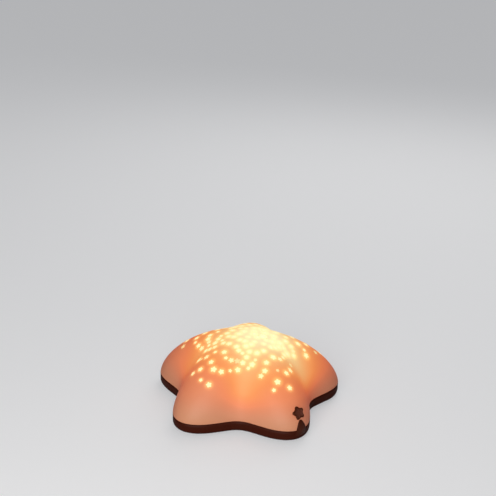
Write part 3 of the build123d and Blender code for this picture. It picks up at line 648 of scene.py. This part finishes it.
def build_tongue():
    """Rows climb from the case to the top, closer together near it. Half width is the square
    root of what is left of the climb, a parabola, and the front stands off the wall by a
    power of one minus the square of the place across, much like half an ellipse."""
    climb = np.sin(np.linspace(0, math.pi / 2, tongue_rows))[:, None]
    top_height = seam_height + tongue_height + tongue_cover
    height = tongue_root + climb * (top_height - tongue_root)
    share = np.clip((height - seam_height) / (top_height - seam_height), 0, 1)
    half = (tongue_width / 2 + tongue_cover) * np.sqrt(np.clip(1 - share, least_share, 1))
    across = np.sin(np.linspace(-math.pi / 2, math.pi / 2, tongue_columns))[None, :]
    turn = button_turn + half * across / star_radius(1.0, button_turn, shell_radius)
    height, step = height + 0 * turn, 1e-4
    base = side_points(height, turn)
    sideways = side_points(height, turn + step) - side_points(height, turn - step)
    upward = side_points(height + step, turn) - side_points(height - step, turn)
    normal = np.cross(sideways, upward)
    normal /= np.linalg.norm(normal, axis=-1, keepdims=True)
    root = np.clip((height - tongue_root) / (seam_height - tongue_root), 0, 1) ** root_power
    full = tongue_proud * root * (half / (tongue_width / 2)) ** tongue_roundness
    stand = full * (0.5 + (1 - across**2) ** tongue_roundness) - tongue_sink
    front = base + normal * stand[..., None]
    behind = base - normal * tongue_depth
    rows = np.concatenate([front, behind[:, ::-1]], axis=1)
    count, columns = rows.shape[:2]
    faces = grid_faces(count, columns)
    left = np.arange(columns // 2 - 1)
    cap = np.stack([left, columns - 1 - left, columns - 2 - left, left + 1], -1)
    faces += cap.tolist() + (cap[:, ::-1] + (count - 1) * columns).tolist()
    piece = add_mesh("case_tongue", rows, faces, "lamp")
    # Painted highlight share: strongest down the middle of the rounded front, fading to the sides, the
    # root and the top; the back gets none.
    crest_highlight = root * (1 - across**2) * np.clip(1.25 * np.sqrt(1 - share) - 0.25, 0, 1)
    add_attribute(piece, "crest_highlight", np.concatenate([crest_highlight, 0 * crest_highlight], axis=1))
    return piece


def tongue_brown_with_highlight():
    """The case's brown with a painted highlight: a little paler along the crest of the rounded front."""
    material, tree, shader, tint = new_material("tongue_plastic_brown", (0.056, 0.008, 0.003), 0.45, 1.0)
    tint_by(tree, tint, read_attribute(tree, "crest_highlight"), tongue_highlight_stops)
    shader.inputs["Specular IOR Level"].default_value = 0.15
    return material


case_tongue = build_tongue()
dress(case_tongue, tongue_brown_with_highlight())

# %% [markdown]
# ## The star button
#
# The switch is pressed through a soft-cornered star with a raised rim and a dished middle,
# where a fingertip finds it in the dark. The star's reach swings between point and waist
# with the angle, and the profile runs from the stem over a round flange and a straight
# skirt to the half round rim and the dish. It rides on the button body and moves with it.

# %% Build the star button
button_points = 100
rim_share = 0.15
rim_height = 0.65 * MM
dish_depth = 0.45 * MM
dish_centre = 0.12
skirt_top = 0.2 * MM
skirt_middle = -3.0 * MM
skirt_bottom = -6.05 * MM
flange_radius = 7.7 * MM
flange_bottom = -7.2 * MM
stem_radius = 2.5 * MM
stem_bottom = -13.2 * MM
dish_stops = [(0.0, (0.080, 0.015, 0.0028)), (1.0, (0.135, 0.036, 0.020))]


def build_button():
    """Circles of the stem and flange, then the star's outline times a profile of shares of
    its reach: the skirt, half a circle over the rim, and a parabola down into the dish."""
    angle = np.linspace(0, 2 * math.pi, button_points, endpoint=False)
    over = np.linspace(0, math.pi, 13)
    towards = np.linspace(1, dish_centre, 8)[1:]
    share = np.concatenate([[1, 1, 1], 1 - rim_share * (1 - np.cos(over)),
                            (1 - 2 * rim_share) * towards])
    circles = np.array([stem_radius, stem_radius, flange_radius, flange_radius])
    reach = np.concatenate([circles[:, None] + 0 * angle, share[:, None] * button_reach(angle)])
    height = np.concatenate([[stem_bottom, flange_bottom, flange_bottom, skirt_bottom],
                             [skirt_bottom, skirt_middle, skirt_top],
                             rim_height * (1 + np.sin(over)),
                             rim_height - dish_depth * (1 - towards**2)])
    origin, across, uphill, outward = button_frame()
    flat = (reach * np.cos(angle))[..., None] * across + (reach * np.sin(angle))[..., None] * uphill
    points = origin + flat + height[:, None, None] * outward
    poles = np.stack([origin + outward * height[0], origin + outward * height[-1]])
    rows, columns = reach.shape
    bottom = rows * columns
    faces = grid_faces(rows, columns)
    faces += fan_faces(0, columns, bottom, turned=True)
    faces += fan_faces(bottom - columns, columns, bottom + 1)
    piece = add_mesh("star_button_cap", np.concatenate([points.reshape(-1, 3), poles]), faces,
                     "button")
    rim_end, blend = 0.75, 0.12
    dish = np.concatenate([0 * circles, np.clip((rim_end - share) / blend, 0, 1)])
    add_attribute(piece, "dish", np.concatenate([np.repeat(dish, columns), [0, 1]]))
    return piece


star_button = build_button()
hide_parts("star_button")


def button_finish():
    """Dark brown rim and a lighter middle."""
    material, tree, shader, tint = new_material("button_plastic_brown", (0.05, 0.014, 0.006), 0.33, 0.8)
    tint_by(tree, tint, read_attribute(tree, "dish"), dish_stops)
    shader.inputs["Specular IOR Level"].default_value = 0.2
    return material


dress(star_button, button_finish())

# %% [markdown]
# ## Finishes of the pieces that stay as CAD solids
#
# The inner parts, the feet, the screws and the battery cover have their true shape
# already. Each gets a finish of its own kind: rubber with a soft grain, nickel with a fine
# grain, white moulded plastic, green board laminate and so on.

# %% Dress the CAD nodes
rubber = new_material("foot_rubber_soft", (0.03, 0.027, 0.025), 0.8, 2.5, 0.0009)[0]
white = new_material("white_plastic_moulded", (0.80, 0.79, 0.74), 0.5, 0.8)[0]
clear = new_material("clear_plastic_moulded", (0.85, 0.82, 0.70), 0.15, 0.2)[0]
black = new_material("black_plastic_moulded", (0.02, 0.02, 0.022), 0.5, 1.0)[0]
green = new_material("board_laminate_green", (0.02, 0.13, 0.05), 0.35, 0.6, 0.0004)[0]
jacket = new_material("cell_jacket_grey", (0.10, 0.11, 0.13), 0.3, 0.3)[0]
nickel = new_material("nickel_brushed", (0.66, 0.65, 0.62), 0.28, 0.5, 0.0003, 0.05, 1.0)[0]
zinc = new_material("zinc_plated", (0.55, 0.55, 0.55), 0.35, 0.5, 0.0003, 0.08, 1.0)[0]
wire = new_material("wire_jacket_black", (0.02, 0.02, 0.02), 0.4, 0.5)[0]
wire_red = new_material("wire_jacket_plus", (0.40, 0.02, 0.015), 0.4, 0.5)[0]
finishes = {"foot_rubber": rubber, "white_plastic": white, "clear_plastic": clear,
            "black_plastic": black, "board_laminate": green, "cell_jacket": jacket,
            "spring_steel": nickel, "screw_steel": zinc, "wire_jacket": wire,
            "wire_jacket_red": wire_red, "case_plastic": brown, "button_plastic": brown,
            "shell_plastic": white}
for part in frame["record"]["subparts"]:
    dress(nodes[part["node"]], finishes[part["material_slot"]])

# %% [markdown]
# ## Floor and light
#
# The lamp stands on a plain pale floor. A broad soft light stands low in front, one hangs
# overhead and one stands behind, and a faint even sky fills the shade. Together they show
# the shape without hard shadows, and leave the flanks of the arms to their own glow. The
# floor and the sky look paler to the camera than the light they give off, so that they
# stay pale without washing the glow out.

# %% Stage and lights
floor_half = 20.0
floor_drop = 0.2 * MM
floor_lift = 0.40
sky_light, sky_seen_light = 0.13, 0.75


def build_floor():
    """One large four-sided face just under the feet."""
    corners = np.array([[-1, -1, 0], [1, -1, 0], [1, 1, 0], [-1, 1, 0]]) * floor_half
    corners = corners - [0, 0, floor_drop]
    mesh = bpy.data.meshes.new("floor")
    mesh.from_pydata(corners, [], [[0, 1, 2, 3]])
    floor = bpy.data.objects.new("floor", mesh)
    bpy.context.scene.collection.objects.link(floor)
    material, tree, shader, _ = new_material("floor_paper", (0.55, 0.55, 0.55), 0.9, 0.2, 0.003, 0.01)
    seen = tree.nodes.new("ShaderNodeLightPath")
    lift = tree.nodes.new("ShaderNodeMath")
    lift.operation = "MULTIPLY"
    lift.inputs[1].default_value = floor_lift
    tree.links.new(seen.outputs["Is Camera Ray"], lift.inputs[0])
    tree.links.new(lift.outputs["Value"], shader.inputs["Emission Strength"])
    shader.inputs["Emission Color"].default_value = (0.96, 0.97, 1.0, 1)
    dress(floor, material)


def add_area_light(name, place_at, size, energy, color):
    """Square lamp that faces the middle of the star."""
    data = bpy.data.lights.new(name, "AREA")
    data.size, data.energy, data.color = size, energy, color
    lamp = bpy.data.objects.new(name, data)
    bpy.context.scene.collection.objects.link(lamp)
    lamp.location = place_at
    lamp.rotation_mode = "QUATERNION"
    aim = Vector((0, star_y, 0.04)) - Vector(place_at)
    lamp.rotation_quaternion = aim.to_track_quat("-Z", "Y")


build_floor()
add_area_light("key_light", (-0.12, -0.92, 0.40), 0.7, 6.4, (1.0, 0.98, 0.95))
add_area_light("top_light", (0.3, 0.3, 1.6), 1.4, 3, (0.97, 0.98, 1.0))
add_area_light("back_light", (0.25, 1.0, 1.0), 1.0, 4.2, (1.0, 0.99, 0.97))
world = bpy.data.worlds.new("soft_sky")
bpy.context.scene.world = world
world.use_nodes = True
sky = world.node_tree.nodes["Background"]
sky.inputs["Color"].default_value = (0.85, 0.86, 0.88, 1)
sky_seen = world.node_tree.nodes.new("ShaderNodeLightPath")
sky_level = world.node_tree.nodes.new("ShaderNodeMapRange")
sky_level.inputs["To Min"].default_value = sky_light
sky_level.inputs["To Max"].default_value = sky_seen_light
world.node_tree.links.new(sky_seen.outputs["Is Camera Ray"], sky_level.inputs["Value"])
world.node_tree.links.new(sky_level.outputs["Result"], sky.inputs["Strength"])
print("one floor and", len(bpy.data.lights), "lights")

# %% [markdown]
# ## Camera
#
# The camera looks down at about twenty degrees, slightly from the right, with a long lens,
# as one sees the lamp from across a room.

# %% Set the camera
camera_data = bpy.data.cameras.new("camera")
camera = bpy.data.objects.new("camera", camera_data)
bpy.context.scene.collection.objects.link(camera)
bpy.context.scene.camera = camera
camera_data.lens = 72.58
camera_data.sensor_width = 36.0
camera_data.clip_end = 60
camera.location = (0.08071, -0.97697 + star_y, 0.54616)
camera_yaw, camera_pitch, camera_roll = 4.891, 20.621, 1.619
camera.rotation_mode = "XYZ"
turned = Euler((math.radians(90 - camera_pitch), 0, math.radians(camera_yaw))).to_matrix()
turned = turned @ Matrix.Rotation(math.radians(camera_roll), 3, "Z")
camera.rotation_euler = turned.to_euler()
bpy.context.scene.view_settings.view_transform = "Standard"
print("the camera has a lens of", camera_data.lens, "mm")
